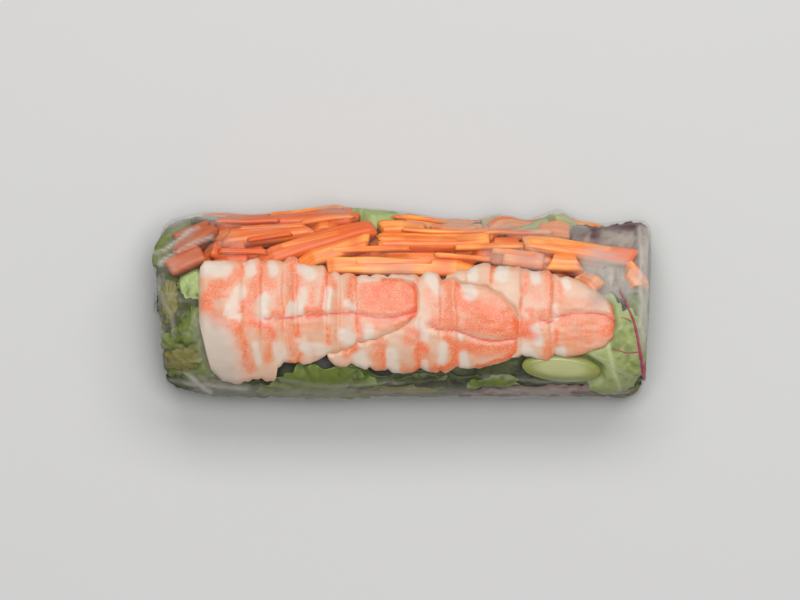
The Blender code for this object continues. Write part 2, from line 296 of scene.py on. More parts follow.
def wave(points, size, seed):
    """Smooth noise from -1 to 1, with lumps of that size in millimetres."""
    scaled = points / (size * MM) + seed * 17.3
    return np.array([noise.noise(Vector(point)) for point in scaled])


def ramp(low, high, values):
    """Rises smoothly from 0 at low to 1 at high."""
    t = np.clip((values - low) / (high - low), 0, 1)
    return t * t * (3 - 2 * t)


def from_line(x, y, line):
    """Distance in millimetres from a line through places given as x, y, x, y and so on."""
    nearest = np.full(len(x), 1e9)
    for x0, y0, x1, y1 in zip(line[::2], line[1::2], line[2::2], line[3::2]):
        run = max((x1 - x0) ** 2 + (y1 - y0) ** 2, 1e-6)
        t = np.clip(((x - x0) * (x1 - x0) + (y - y0) * (y1 - y0)) / run, 0, 1)
        nearest = np.minimum(nearest, np.hypot(x - x0 - t * (x1 - x0), y - y0 - t * (y1 - y0)))
    return nearest


laid = np.zeros(skin.shape[:2])  # how deep what is laid reaches, over the whole skin


def lay(along, around, bottom):
    """Marks the ground that a piece covers and how deep it reaches."""
    row, column = (np.rint(part).astype(int) for part in cell(along, around))
    np.maximum.at(laid, (row, column % NET_AROUND), bottom)


def widen(net, rounds):
    """Spreads a net's high values over its neighbours."""
    for _ in range(rounds):
        padded = np.pad(net, ((1, 1), (0, 0)), mode="edge")
        net = np.maximum(net, np.maximum(padded[:-2], padded[2:]))
        net = np.maximum(net, np.maximum(np.roll(net, 1, 1), np.roll(net, -1, 1)))
    return net


# Each prawn as seen from above: its upper and lower outline from head to tail, where each ring of
# the body ends, the red line down its back, and the patches of colour. A patch is a stroke from
# place to place, its width, how orange and how red it is. The pale patches have only a width. Every
# line and outline gives the x and y of its places in turn.
PRAWNS = {
    "prawn_left": {
        "upper": (
            -50, 5, -49.5, 9, -48.5, 10.5, -43, 10.5, -38.5, 10.5, -35.5, 11, -32, 10.5, -29.5, 10.5,
            -28, 11.5, -25.5, 11.5, -25, 10, -23, 9.5, -19, 9, -18, 8, -15, 7.5, -10.5, 7, -5.5, 6.5,
            0, 6, 2.5, 5, 4, 3, 4.5, -0.5,
        ),
        "lower": (
            -50, 3, -50, -3.5, -49.5, -6, -49, -8.5, -48, -13, -47, -16.5, -44, -19.5, -41, -20,
            -38, -20, -36.5, -19, -33, -19.5, -31, -19, -30.5, -16, -28, -15, -24, -15.5, -21, -14.5,
            -19, -13.5, -15, -12.5, -11.5, -10.5, -6, -9, 0, -6.5, 3.5, -4, 4.5, -1,
        ),
        "rings": (-38.5, -34.5, -29, -25.5, -18, -15, -11),
        "blush": (
            ((-38.5, 9, -40, 6.5, -43, 4.5, -46, 3.5), 3.5, 0.85, 0.1),
            ((-46.5, 3, -48, 0.5, -47, -2, -45, -4.5), 2.5, 0.95, 0.35),
            ((-48, 1, -43, 1.5), 1, 0.8, 0.5), ((-45, -3.5, -43, -5, -40, -6), 3, 0.9, 0.3),
            ((-40, -7, -39, -10, -37.5, -15), 3, 0.7, 0.1), ((-38.5, -9, -38.5, -13), 1, 0.95, 0.35),
            ((-33.5, 9, -34.5, 6, -36, 4, -38, 1), 4, 0.85, 0.1), ((-35, 5.5, -32, 4), 3.5, 0.9, 0.15),
            ((-34.5, 2.5, -37, 0.5, -40, 0), 1, 0.9, 0.7), ((-38.5, -1, -38, -4), 4, 0.8, 0.2),
            ((-37, -4.5, -35, -5, -33, -5.5), 1.5, 1, 0.8), ((-32.5, -5.5, -31, -8.5), 1.5, 0.95, 0.6),
            ((-34.5, -6.5, -33, -8), 2.5, 0.6, 0.1), ((-32, -9, -33, -13.5), 2, 0.65, 0.1),
            ((-26.5, 9.5, -26, 5, -26.5, 1.5), 3, 0.95, 0.2), ((-28.5, 6, -28.5, 0), 3, 0.55, 0.05),
            ((-31.5, -2.5, -28.5, -2), 1, 0.9, 0.6), ((-30, 0.5, -29, -1.5), 2.5, 0.6, 0.1),
            ((-30, -4.5, -26.5, -6), 3, 0.6, 0.15), ((-26, -5.5, -25.5, -7.5), 1.5, 1, 0.5),
            ((-27.5, -8, -25.5, -14), 2.5, 0.6, 0.1),
            ((-28.5, -13.5, -26, -15, -25, -12), 1, 0.85, 0.2), ((-23.5, 5.5, -21.5, 4), 3.5, 0.45, 0),
            ((-22, 3, -22, 0), 1.5, 0.75, 0.1), ((-18, 7.5, -19, 3, -19.5, -2), 1.5, 0.95, 0.25),
            ((-23, -1.5, -20, -1.5), 1.5, 1, 0.35), ((-23, -3, -20, -3), 1, 0.7, 0.75),
            ((-24, -5, -20, -5), 3, 0.4, 0.1), ((-17.5, 5.5, -17, 4), 2, 0.85, 0.2),
            ((-15.5, -1, -15, -4), 3, 0.45, 0.15), ((-12, 5, -12.5, 1), 2.5, 0.9, 0.15),
            ((-18, -5.5, -18, -10), 1, 0.85, 0.25), ((-16, -6.5, -16, -8.5), 1, 0.7, 0.15),
            ((-22.5, -8.5, -21.5, -12.5), 1, 0.45, 0.1), ((-6, 1.5, 0, 1), 10, 0.95, 0.3),
            ((-8.5, 0.5, -5.5, 3, -2, 4.5), 2.5, 1, 0.5), ((-5, 5.5, 2, 5), 2, 0.8, 0.2),
            ((2.5, 5, 4, 2, 4, -1, 2, -3), 2.5, 1, 0.85), ((-7, -4.5, 0, -4.5), 3, 0.6, 0.3),
            ((-11, -3.5, -10.5, -9.5), 1.5, 0.85, 0.5), ((-7, -10, -2, -9, 3, -7), 1.5, 0.9, 0.45),
        ),
        "pale": (
            ((-39.5, 2.5, -42, -2), 3.5), ((-43, -2.5, -40, -3.5), 2), ((-37.5, 9, -37, 7), 3),
            ((-32, 9.5, -31.5, 7), 2.5), ((-34, 1.5, -34, -4), 2.5), ((-27, -0.5, -28, -3), 2),
            ((-24.5, 2.5, -25.5, -2), 2.5), ((-18, 3, -18.5, -1), 2), ((-24.5, 8, -22.5, 6.5), 3.5),
            ((-30.5, -10, -29.5, -13.5), 3.5), ((-36, -10, -35, -14), 2), ((-47, -8, -44, -16.5), 11.5),
            ((-23.5, -10.5, -19, -11), 3.5), ((-14.5, -7.5, -11.5, -8.5), 3.5),
            ((-48, 8, -43.5, 7.5), 4), ((-8, -5.5, -8, -8), 2.5), ((-13.5, 0, -12, -1), 2),
            ((-10, 5.5, -6, 6), 2),
        ),
        "line": (
            (-34, -4, -27, -3.5, -23, -3, -19.5, -3, -15.5, -2.5, -13, -2.5),
            (-13, -2, -11.5, -2.5, -9, -3, -6, -3.5, -2, -3.5, 2, -2.5, 3.5, -2),
        ),
    },
    "prawn_middle": {
        "upper": (
            -19.5, 0, -18.5, 5, -14, 6.5, -8, 7, -2, 7, 4.5, 7, 6.5, 8, 9, 7.5, 10, 6, 13, 6.5, 14, 5,
            18.5, 4.5, 20.5, 4, 25, 2, 28, -1.5, 28.5, -4, 29, -6,
        ),
        "lower": (
            -19.5, -3, -19, -11, -18, -14, -16.5, -15.5, -14, -16, -12, -15.5, -11, -16, -8.5, -16.5,
            -3.5, -17, -2, -17.5, 2.5, -17.5, 4, -17, 5.5, -17, 10.5, -17.5, 13, -16.5, 16, -16.5,
            19, -16, 23.5, -15, 26.5, -14, 28.5, -12, 29, -8.5,
        ),
        "rings": (-12.5, -8, -3.5, 4.5, 9.5, 13.5),
        "blush": (
            ((-13.5, -12, -11.5, -10.5), 2, 0.8, 0.1),
            ((-5.5, -9.5, -5.5, -12.5, -5, -15), 3.5, 0.6, 0.1),
            ((-4.5, -10.5, -4.5, -15), 1.5, 0.85, 0.15), ((1.5, -6.5, 4, -7.5), 2, 0.5, 0.5),
            ((1.5, -8.5, 4, -10), 2.5, 0.6, 0.2), ((4, -10, 4.5, -13, 4, -16.5), 2.5, 0.9, 0.2),
            ((4.5, -9.5, 6, -11), 1.5, 1, 0.6), ((0.5, -15.5, 3, -16.5), 2, 0.6, 0.1),
            ((3.5, 5, 3, 3), 1.5, 0.6, 0.3), ((11.5, 3, 11.5, -4), 6, 0.75, 0.15),
            ((13.5, 4.5, 14, 0.5, 15, -1.5), 1.5, 1, 0.45), ((7, 2, 8.5, -2), 3.5, 0.45, 0.1),
            ((8.5, -4, 12.5, -4), 3, 0.8, 0.35), ((5.5, -6, 11, -5.5), 1, 0.5, 0.1),
            ((11, -8, 13, -11, 13, -14, 10.5, -15.5, 8, -15.5), 2, 0.95, 0.2),
            ((13.5, -10, 13.5, -15), 1, 0.9, 0.4), ((6.5, -12.5, 7, -15), 2, 0.4, 0),
            ((14, 0, 16, -1), 2, 1, 0.6), ((18.5, 0, 24.5, 0.5), 4, 0.5, 0),
            ((19, -2.5, 24, -4, 27.5, -5.5), 6, 0.95, 0.4), ((16, -5, 28, -7), 3, 0.8, 0.35),
            ((28, -5, 28.5, -8.5), 1, 1, 0.9), ((26, -2, 28, -4.5), 2, 0.9, 0.3),
            ((14, -10, 17.5, -10), 2.5, 0.8, 0.5), ((17.5, -10.5, 26.5, -10.5), 3.5, 0.75, 0.2),
            ((18.5, -15, 21, -14.5, 23, -13.5, 26.5, -13, 28.5, -10.5), 1, 1, 0.35),
            ((26.5, -12.5, 28.5, -10), 2.5, 1, 0.6),
        ),
        "pale": (
            ((7, 6, 8.5, 3), 3), ((10, -10, 10, -13.5), 2.5), ((-10, -13, -9.5, -14.5), 4),
            ((-2.5, -12, -2, -16.5), 3.5), ((16, 4, 17, 2), 3.5), ((15, -12.5, 15.5, -15), 3),
            ((4.5, -5.5, 5.5, -7.5), 2.5), ((5.5, -14, 5.5, -16), 2), ((14, -7.5, 14.5, -8.5), 1),
        ),
        "line": ((7, -5.5, 9, -6.5, 13.5, -6.5, 16, -7.5, 19, -8.5, 22, -9, 28, -8.5),),
    },
    "prawn_right": {
        "upper": (
            9.5, 2, 11, 7, 14, 8, 16.5, 8.5, 18.5, 9.5, 21.5, 10, 23, 9, 25, 9, 29.5, 9, 31.5, 8,
            33, 7.5, 36, 8, 37.5, 7.5, 38.5, 6.5, 40, 6.5, 44, 5.5, 47.5, 3.5, 50, 1, 51.5, -0.5,
            52, -3, 52.5, -4,
        ),
        "lower": (
            9.5, -3, 11, -9, 15, -12, 19, -13, 24, -13.5, 29, -13.5, 32.5, -13.5, 35, -14.5, 37, -14,
            37.5, -13, 40.5, -13.5, 45, -12.5, 50, -10.5, 51.5, -9, 52, -6.5, 52.5, -5,
        ),
        "rings": (16, 22.5, 29.5, 37),
        "blush": (
            ((22.5, 10, 22, 5), 1, 0.75, 0.2), ((30.5, 6, 30, 2.5), 1.5, 0.8, 0.25),
            ((28, 8.5, 29.5, 6.5), 1.5, 0.3, 0), ((32, 7.5, 34, 3.5), 3.5, 0.25, 0),
            ((36, 6.5, 36.5, 1), 3, 0.7, 0.15), ((38.5, 5, 39, 2), 1, 0.8, 0.3),
            ((32, 2.5, 35, 0.5), 3.5, 0.45, 0.1), ((29, 1, 29, -3, 30, -4), 1, 0.5, 0.5),
            ((30.5, -2, 32, -1.5, 32, -3), 1, 0.8, 0.6), ((28.5, -5, 32, -4.5), 1.5, 0.9, 0.75),
            ((28.5, -7, 32.5, -7.5), 2, 0.9, 0.7), ((29, -5.5, 31, -7), 2.5, 0.8, 0.6),
            ((34, -3, 37, -2), 3, 0.7, 0.25), ((34.5, -5.5, 37, -7.5), 3.5, 0.4, 0.1),
            ((36, -9.5, 36.5, -13.5), 2.5, 0.75, 0.05), ((38, -6, 38, -10), 1, 0.95, 0.5),
            ((39, 0.5, 39.5, 1), 1.5, 0.6, 0.3), ((39.5, -0.5, 47.5, -0.5), 3, 0.4, 0.05),
            ((39.5, -4.5, 51, -4), 3, 0.7, 0.25), ((41, -7.5, 50, -7), 4.5, 0.6, 0.15),
            ((39, -9, 45, -11), 2.5, 0.4, 0.05),
            ((51.5, -0.5, 52.5, -3, 52.5, -6.5, 51.5, -9.5), 1.5, 1, 0.7),
            ((49.5, -6.5, 52, -6.5), 2.5, 1, 0.45), ((51, -10, 45.5, -12.5, 41, -13), 1, 0.8, 0.2),
            ((44.5, 5, 48, 3.5, 51, 0.5), 1, 0.4, 0.05),
        ),
        "pale": (
            ((24.5, 8, 24.5, 6), 3.5), ((17, 8, 17.5, 6), 3), ((37.5, -1, 38, -3.5), 1.5),
            ((39, 6, 40.5, 4), 2.5), ((30.5, -11, 32, -13), 3), ((32.5, 7, 33, 5), 2.5),
            ((39, -11, 39, -12.5), 2.5), ((32.5, -5.5, 33.5, -9), 2.5),
        ),
        "line": (
            (34, -4, 35.5, -4.5, 37, -4.5),
            (38, -3.5, 40, -3, 42, -2.5, 47.5, -2.5, 50, -3, 51.5, -4, 52.5, -5),
        ),
    },
}


def new_material(name, roughness, gloss=0.5):
    """A plain material, whose colour comes from dress."""
    material = bpy.data.materials.new(name)
    material.use_nodes = True
    shade = material.node_tree.nodes["Principled BSDF"]
    shade.inputs["Roughness"].default_value = roughness
    shade.inputs["Specular IOR Level"].default_value = gloss
    return material


def add(material, kind, out, inputs, **settings):
    """Adds a node and gives one of its outputs. Its inputs are numbers or other nodes' outputs."""
    node = material.node_tree.nodes.new("ShaderNode" + kind)
    for setting, value in settings.items():
        setattr(node, setting, value)
    for name, value in inputs.items():
        if isinstance(value, bpy.types.NodeSocket):
            material.node_tree.links.new(value, node.inputs[name])
        else:
            node.inputs[name].default_value = value
    return node.outputs[out]


def painted(material, *names):
    """The numbers that paint keeps under these names."""
    return [add(material, "Attribute", "Fac", {}, attribute_name=name) for name in names]


def texture(material, kind, scale, detail=2.0, roughness=0.5, places=None):
    """Noise, or the distance to scattered cells, with about that many lumps to the metre."""
    if places is None:
        places = add(material, "TexCoord", "Object", {})
    if kind == "Voronoi":
        return add(material, "TexVoronoi", "Distance", {"Vector": places, "Scale": scale})
    inputs = {"Vector": places, "Scale": scale, "Detail": detail, "Roughness": roughness}
    return add(material, "TexNoise", "Fac", inputs)


def step(material, value, low, high, out_low=0.0, out_high=1.0, kind="SMOOTHSTEP"):
    """Takes a value from one span to another, smoothly and no further."""
    inputs = {"Value": value, "From Min": low, "From Max": high, "To Min": out_low, "To Max": out_high}
    return add(material, "MapRange", "Result", inputs, interpolation_type=kind)


def figure(material, operation, *values):
    """A sum, product or the like of numbers and outputs."""
    return add(material, "Math", 0, dict(enumerate(values)), operation=operation)


def over(material, below, above, amount):
    """One colour laid over another by an amount from 0 to 1."""
    below, above = (c if isinstance(c, bpy.types.NodeSocket) else (*c, 1) for c in (below, above))
    return add(material, "Mix", 2, {0: amount, 6: below, 7: above}, data_type="RGBA")


def dress(material, colour, height=None, strength=0.0, distance=0.0):
    """Gives a material its colour and, where it has a height, its bumps."""
    shade = material.node_tree.nodes["Principled BSDF"]
    material.node_tree.links.new(colour, shade.inputs["Base Color"])
    if height is not None:
        inputs = {"Height": height, "Strength": strength, "Distance": distance}
        material.node_tree.links.new(add(material, "Bump", "Normal", inputs), shade.inputs["Normal"])


flesh = new_material("prawn_flesh", 0.4, 0.45)
blush, redness, vein, pale = painted(flesh, "blush", "redness", "vein", "pale")
mottle = texture(flesh, "Noise", 420.0, 3.0, 0.6)
clouds = texture(flesh, "Noise", 160.0)
dot_edge = figure(flesh, "MULTIPLY_ADD", blush, 0.5, 0.1)
dot_edge = figure(flesh, "SUBTRACT", dot_edge, texture(flesh, "Voronoi", 3100.0))
specks = step(flesh, texture(flesh, "Voronoi", 1500.0), 0.12, 0.3, 0.45, 0.0)
colour = over(flesh, (0.68, 0.38, 0.24), (0.70, 0.46, 0.33), step(flesh, clouds, 0.35, 0.65))
for above, amount, share in (
    ((0.69, 0.57, 0.475), pale, 1.0),
    ((0.78, 0.19, 0.04), blush, step(flesh, mottle, 0.3, 0.62, 0.4, 0.9)),
    ((0.85, 0.12, 0.07), redness, 0.8),
    ((0.79, 0.125, 0.018), step(flesh, dot_edge, -0.08, 0.12), step(flesh, blush, 0.02, 0.35)),
    ((0.84, 0.44, 0.26), specks, blush), ((0.72, 0.035, 0.025), vein, 1.0),
):
    colour = over(flesh, colour, above, figure(flesh, "MULTIPLY", amount, share))
dress(flesh, colour, mottle, 0.3, 0.0002)

for number, (node, prawn) in enumerate(PRAWNS.items()):
    upper, lower = (np.reshape(prawn[side], (-1, 2)) for side in ("upper", "lower"))
    start, end = upper[0, 0], upper[-1, 0]
    piece, flat = grid(node + "_flesh", int(PRAWN_CELLS[0] * (end - start)), PRAWN_CELLS[1])
    x = start + (end - start) * (1 + np.sin(flat[:, 0] * math.pi / 2)) / 2
    rim = np.sin(flat[:, 1] * math.pi / 2)
    rings = np.array(prawn["rings"])
    pinch = 0.55 * np.exp(-((np.abs(x[:, None] - rings).min(axis=1) / 0.6) ** 2))
    edge_noise = 0.35 * wave(np.stack([x, rim * 4, 0 * x], axis=1) * MM, 1.7, number + 60)
    high = np.interp(x, *upper.T) - pinch + edge_noise
    low = np.interp(x, *lower.T) + pinch + edge_noise
    y = (high + low) / 2 + rim * (high - low) / 2
    places = np.stack([x, y, np.full_like(x, number * 40.0)], axis=1) * MM

    # each ring swells towards its rear edge and drops onto the next
    warped = x + 0.5 * wave(places, 5.0, number) + 0.25 * wave(places, 1.5, number + 5)
    edges = np.array([start - 2, *prawn["rings"], end + 2])
    ring = np.clip(np.searchsorted(edges, warped) - 1, 0, len(edges) - 2)
    t = (warped - edges[ring]) / np.diff(edges)[ring]
    tail = ring == len(edges) - 2
    swell = np.where(tail, 0.25 * np.sin(t * math.pi), 0.32 * t**1.6 - 0.32 * ramp(0.88, 1.0, t))
    swell += 0.25 * wave(places, 7.0, number + 9) + 0.08 * wave(places * (0.5, 1.6, 1.0), 1.5, number + 9)
    from_back = np.min([from_line(x, y, line) for line in prawn["line"]], axis=0)
    swell -= 0.22 * np.exp(-((from_back / 0.7) ** 2))

    along, around = place_at(x, y)
    inside = np.minimum((1 - np.abs(rim)) * (high - low) / 2, 1.2 * np.minimum(x - start, end - x))
    roundness = np.sqrt(np.clip(1 - (1 - np.clip(inside / PRAWN_RIM, 0, 1)) ** 2, 0, 1))
    own = PRAWN_TOP + 1.5 * (1 - roundness) - swell
    floor = read(soften(laid, 2), along, around)
    top = np.maximum(own, floor)
    thick = PRAWN_THICK * np.where(tail, 1 - 0.5 * ramp(0, 1, t), 1.0)
    bottom = top + 0.3 + (thick - 0.3) * roundness
    thicken(piece, along, around, top, bottom)
    under = inside > 1.3  # the soft rim sinks into what it lies on
    lay(along[under], around[under], bottom[under] + 0.1)

    shift_x = 0.40 * wave(places, 2.2, number + 20) + 0.22 * wave(places, 0.8, number + 21)
    shift_y = 0.40 * wave(places, 2.2, number + 30) + 0.22 * wave(places, 0.8, number + 31)
    colour, red, light = np.zeros(len(x)), np.zeros(len(x)), np.zeros(len(x))
    for line, width, orange, redder in prawn["blush"]:
        patch = 1 - ramp(0.05, 1.05, from_line(x + shift_x, y + shift_y, line) / width)
        colour = np.maximum(colour, patch * orange)
        red = np.maximum(red, patch * redder)
    for line, width in prawn["pale"]:
        light = np.maximum(light, 1 - ramp(0.25, 0.65, from_line(x + shift_x, y + shift_y, line) / width))
    seam = np.where(tail, 0.0, 0.45 * ramp(0.5, 0.97, t)) * (1 - ramp(0.97, 1.0, t))
    colour = np.maximum(colour * (1 - 0.8 * light), seam * (0.4 + 0.6 * wave(places, 1.6, number + 40)))
    red_line = 0.9 * (1 - ramp(0.1, 0.36, from_back + 0.1 * wave(places, 0.9, number + 50)))
    for name, values in (("blush", colour), ("redness", red), ("pale", light), ("vein", red_line)):
        paint(piece, name, np.tile(values, 2))
    close_up(piece)
    piece.data.materials.append(flesh)
    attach(piece, "root")
    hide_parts(node)


# ---- The carrot sticks ------------------------------------------------------------------------
# Raw carrot cut into square sticks two to four millimetres thick, bundled beside the prawns. The
# cut faces are moist and show the fibres running lengthwise.

STICK_TOP = 0.85  # depth of the outermost sticks
SWELL = 0.4  # the soft sheet presses the sticks together, so each fills its share of the gaps
UNDER_STICKS = (  # the sticks of the layer below, row by row: x and y of both ends, width
    (-50, 20.4, -31, 21.6, 3.2), (-32, 21.8, -12.5, 22, 3.2), (0.5, 21, 16, 19.8, 2.8),
    (-46, 18.7, -26, 19.4, 3.4), (-28, 19.4, -9, 20, 3.4), (-9, 18.6, 6, 19, 3.2),
    (4, 19.2, 22, 18.6, 3.2), (18, 18.4, 40, 18.2, 3.2), (-52, 17, -34, 16.2, 3.4),
    (-36, 16.4, -14, 17.2, 3.6), (-14, 16.6, 6, 16.8, 3.4), (4, 16.6, 31, 16.4, 3.6),
    (-50.5, 13.4, -31, 14, 3.4), (-32, 13.8, -8, 14.4, 3.6), (-10, 14, 14, 14.2, 3.6),
    (12, 13.9, 37, 13.2, 3.6), (34, 14.6, 55, 12.6, 3), (-46.5, 11.8, -27, 12.2, 3.2),
    (-28, 11.4, -6, 11.2, 3.6), (-8, 11.4, 18, 11.4, 3.6), (16, 11.4, 45, 10.7, 3.4),
    (-25, 10.2, -8, 9, 3.2), (-12, 8.8, 12, 8.8, 3.2), (10, 9.2, 24.5, 9.6, 3),
    (31, 8.9, 46.5, 6.8, 3.2),
)
STRANDS = (  # thin strands pressed into the sticks from above: x and y of both ends, width
    (-46, 19.8, -30, 20.1, 1.3), (-40, 18, -24, 18.8, 1.1), (-38, 15.2, -27, 16.8, 1.2),
    (-33, 22, -14, 23, 1.5), (-30, 13.4, -15, 17, 1.3), (-45, 12.4, -33, 12.2, 1.3),
    (-18, 12.6, 2, 13.2, 1.3), (-12, 9.6, 8, 9.9, 1.3), (-6, 15.4, 14, 15.1, 1.3),
    (0, 17.9, 22, 17.4, 1.2), (13, 13.2, 30, 13.8, 1.4), (20, 17, 37, 17.4, 1.3),
    (31, 14.6, 52, 12.6, 1.4), (8, 11.4, 22, 10.6, 1.3), (-2, 20.6, 12, 20.2, 1.2),
    (-25, 19.6, -12, 20.9, 1.2), (-55.5, 12, -50, 13.8, 1.2), (-56, 16, -47.5, 19.6, 1.2),
    (21, 18.6, 30.2, 20.4, 1.2), (22, 12.6, 33, 11.4, 1.3),
)


def baton(name, ends, width, thick, own, seed, pressed_in=False):
    """A square stick along the skin between two places, under whatever is already laid there."""
    (along0, around0), (along1, around1) = ends
    length = math.hypot(along1 - along0, around1 - around0)
    stick, flat = grid(name, int(2.2 * length) + 6, 12)
    u, v = flat[:, 0], np.sin(flat[:, 1] * math.pi / 2)
    slant = 1.2 * wave(np.array([[seed * MM, 0.0, 0.0]]), 1.0, seed)[0]
    ahead = u * length / 2 + slant * v * width * u**7
    places = np.stack([ahead, v * width / 2, np.full_like(u, seed * 30.0)], axis=1) * MM
    level = places * (1, 0, 1)
    across = v * width / 2 * (1 + 0.10 * wave(level, 7.0, seed)) + 0.35 * wave(level, 14.0, seed)
    way = np.array([along1 - along0, around1 - around0]) / length
    along = (along0 + along1) / 2 + ahead * way[0] - across * way[1]
    around = (around0 + around1) / 2 + ahead * way[1] + across * way[0]
    floor = read(laid, along, around)
    stations = np.unique(u)
    spot = np.searchsorted(stations, u)
    deepest = np.zeros(len(stations))
    np.maximum.at(deepest, spot, np.where(np.abs(v) < 0.5, floor, 0.0))
    deepest = np.where((deepest > 0.4) & (not pressed_in), deepest + 0.1, own)
    for reach, evened in ((4, np.max), (5, np.mean)):
        padded = np.pad(deepest, reach, mode="edge")
        runs = [padded[shift : shift + len(deepest)] for shift in range(2 * reach + 1)]
        deepest = evened(runs, axis=0)
    top = deepest[spot] + 0.12 * wave(places * (0.3, 1, 1), 1.4, seed) + 0.12
    corner = 0.3 * ramp(0.8, 1.0, np.abs(v)) + 0.5 * ramp(0.9, 1.0, np.abs(u))
    bottom = top + thick
    lay(along, around, bottom + 0.1)
    thicken(stick, along, around, top + corner, bottom - corner)
    paint(stick, "grain", np.concatenate([places, places + (0, 0, thick * MM)]))
    tone = np.clip(0.4 - (along0 + along1) / 140 + 0.6 * ((seed * 0.37) % 1.0 - 0.5), 0, 1)
    paint(stick, "tone", np.full(2 * len(u), tone))
    # painted shade: the sticks at the roll's left end are darkened towards brown
    paint(stick, "painted_end_shade", np.full(2 * len(u), ramp(-46, -52, (along0 + along1) / 2)))
    close_up(stick)
    stick.data.materials.append(carrot)
    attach(stick, "root")
    return stick


def place_under(point):
    """The place along and around of a point inside the roll."""
    near = np.linalg.norm(skin - point, axis=-1)
    row, column = np.unravel_index(near.argmin(), near.shape)
    return (row / NET_ALONG - 0.5) * net_length / MM, (column / NET_AROUND - 0.5) * girth / MM


def ends_at(x0, y0, x1, y1):
    """The places of a stick's two ends, seen at these points from above."""
    return list(zip(*place_at([x0, x1], [y0, y1])))


carrot = new_material("raw_carrot", 0.42, 0.45)
grain = add(carrot, "Attribute", "Vector", {}, attribute_name="grain")
tone, painted_end_shade = painted(carrot, "tone", "painted_end_shade")
stretched = add(carrot, "Mapping", "Vector", {"Vector": grain, "Scale": (0.16, 3.0, 3.0)})
fibres = texture(carrot, "Noise", 260.0, 3.0, places=stretched)
patches = step(carrot, texture(carrot, "Noise", 90.0, places=grain), 0.42, 0.68, 0.0, 0.7)
tone = figure(carrot, "MAXIMUM", step(carrot, tone, 0.35, 1.0, 0.0, 0.8), patches)
colour = over(carrot, (0.90, 0.20, 0.022), (1.0, 0.42, 0.09), step(carrot, fibres, 0.38, 0.62))
colour = over(carrot, colour, (0.72, 0.085, 0.012), tone)
# painted shade: brown laid over the sticks at the roll's left end
colour = over(carrot, colour, (0.40, 0.085, 0.018), figure(carrot, "MULTIPLY", painted_end_shade, 0.75))
dress(carrot, colour, fibres, 0.35, 0.00015)

sticks = sorted(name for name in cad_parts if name.startswith("carrot_stick"))
for number, node in enumerate(sticks, 1):
    corners = points_of(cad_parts[node])
    centre = corners.mean(axis=0)
    lengthwise, crosswise, _ = np.linalg.svd(corners - centre, full_matrices=False)[2]
    reach = (corners - centre) @ lengthwise
    thick = np.ptp((corners - centre) @ crosswise) / MM
    ends = [place_under(centre + lengthwise * end) for end in (reach.min(), reach.max())]
    width, thick = min(thick + SWELL, 4.0), min(thick, 3.2)
    stick = baton(node.replace("stick", "baton"), ends, width, thick, STICK_TOP, number)
    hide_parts(node)
for number, (*ends, width) in enumerate(UNDER_STICKS, 1):
    baton(f"carrot_end_{number:02d}", ends_at(*ends), width, 2.4, 1.6, number + 40)
for number, (*ends, width) in enumerate(STRANDS, 1):
    baton(f"carrot_strand_{number:02d}", ends_at(*ends), width, 1.0, 0.58, number + 80, True)


# ---- The cucumber -----------------------------------------------------------------------------
# Three cut pieces of cucumber: a half slice beside the right prawn's tail and two baton ends at
# the roll's shoulder. The wet flesh is pale green.

SLICE_AT = (39.2, -16.6)  # the half slice's middle, and its length and width seen from above
SLICE_SIZE = (19.4, 6.4)


def fine_copy(node, name, voxel, ease):
    """A fine, rounded copy of a CAD node, pressed out against the sheet."""
    piece = bpy.data.objects.new(name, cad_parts[node].data.copy())
    piece.data.materials.clear()
    bpy.context.collection.objects.link(piece)
    apply(piece, "WELD", merge_threshold=0.01 * MM)
    apply(piece, "REMESH", mode="VOXEL", voxel_size=voxel * MM, adaptivity=0.0)
    apply(piece, "SMOOTH", factor=0.5, iterations=5)
    points = points_of(piece)
    away = points - core_of(points)
    away /= np.linalg.norm(away, axis=1, keepdims=True)
    set_points(piece, points + away * ease * MM)
    return piece


cucumber = new_material("cut_cucumber", 0.35)
seeds = texture(cucumber, "Noise", 450.0, 3.0)
colour = over(cucumber, (0.20, 0.22, 0.04), (0.31, 0.33, 0.08), seeds)
dress(cucumber, over(cucumber, colour, (0.52, 0.54, 0.25), painted(cucumber, "rim")[0]))
slices = []
for number, node in enumerate(("cucumber_2", "cucumber_3"), 2):
    piece = fine_copy(node, f"cucumber_piece_{number}", 0.4, 0.6)
    paint(piece, "rim", np.full(len(piece.data.vertices), 0.8))
    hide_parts(node)
    slices.append(piece)

# the half slice, a flat wedge with its dark peel along the lower edge
piece, flat = grid("cucumber_piece_1", 90, 44)
u, v = flat[:, 0], flat[:, 1]
u, v = u * np.sqrt(1 - v**2 / 2), v * np.sqrt(1 - u**2 / 2)
x, y = SLICE_AT[0] + u * SLICE_SIZE[0] / 2, SLICE_AT[1] - 0.7 * u + v * SLICE_SIZE[1] / 2
along, around = place_at(x, y)
rounding = 1 - np.sqrt(np.clip(1 - ramp(0.84, 1.0, np.hypot(u, v)) ** 2, 0, 1))
top = np.maximum(1.0, read(soften(laid, 1), along, around)) + 0.8 * rounding + 0.5 * ramp(0, 1, -v)
bottom = top + 0.4 + 2.4 * (1 - rounding)
lay(along, around, bottom + 0.1)
thicken(piece, along, around, top, bottom)
paint(piece, "rim", np.tile(0.85 * (1 - ramp(0.45, 0.9, np.hypot(u, v - 0.25))), 2))
close_up(piece)
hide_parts("cucumber_1")
slices.append(piece)
for piece in slices:
    piece.data.materials.append(cucumber)
    piece.data.shade_smooth()
    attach(piece, "root")


# ---- The leaves -------------------------------------------------------------------------------
# Each leaf is a thin, crumpled blade tucked under what is already laid: the smooth chard leaf with
# its magenta rib, the red lettuce, and the frilly green salad that fills the rest of the roll.

inner = cast(tree_of(*slices), core_of(skin), outward, FAR)
reached = np.linalg.norm(skin - core_of(skin), axis=-1)
laid = np.maximum(laid, np.where(inner < FAR, (reached - inner) / MM + 0.1, 0.0))


